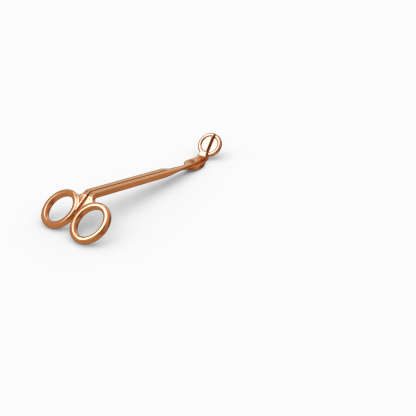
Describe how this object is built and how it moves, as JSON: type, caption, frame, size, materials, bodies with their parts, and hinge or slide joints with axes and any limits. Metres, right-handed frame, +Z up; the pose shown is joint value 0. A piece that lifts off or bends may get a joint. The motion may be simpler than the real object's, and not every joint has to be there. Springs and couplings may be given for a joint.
{
  "type": "candle wick trimmer",
  "caption": "Long-reach candle wick trimmer with finger loops, slim shanks, a screwed pivot and a round dish head of two upturned half-moon blades.",
  "frame": {"origin": "middle of the footprint, on the surface that the trimmer lies on", "axes": "+Y from the finger loops towards the dish head, +X towards the right finger loop, +Z up out of the table; the trimmer lies on its loops and the underside near its head"},
  "size_m": [0.0684, 0.1888, 0.0241],
  "materials": {
    "lever_metal": "polished rose-gold plating with fine wear scratches",
    "screw_metal": "polished rose-gold plating, darker than the levers",
    "washer_metal": "plain ground steel"
  },
  "bodies": {
    "lower_lever": {"left_lever": "lever_metal", "pivot_screw": "screw_metal", "thrust_washer": "washer_metal", "spring_washer": "washer_metal", "pivot_nut": "screw_metal"},
    "upper_lever": {"right_lever": "lever_metal"}
  },
  "joints": [
    {"name": "pivot", "type": "hinge", "parent": "lower_lever", "child": "upper_lever", "pos_m": [-0.0007, 0.05275, 0.00535], "axis": [0, 0.1437, 0.9896], "range_deg": [0, 45]}
  ]
}
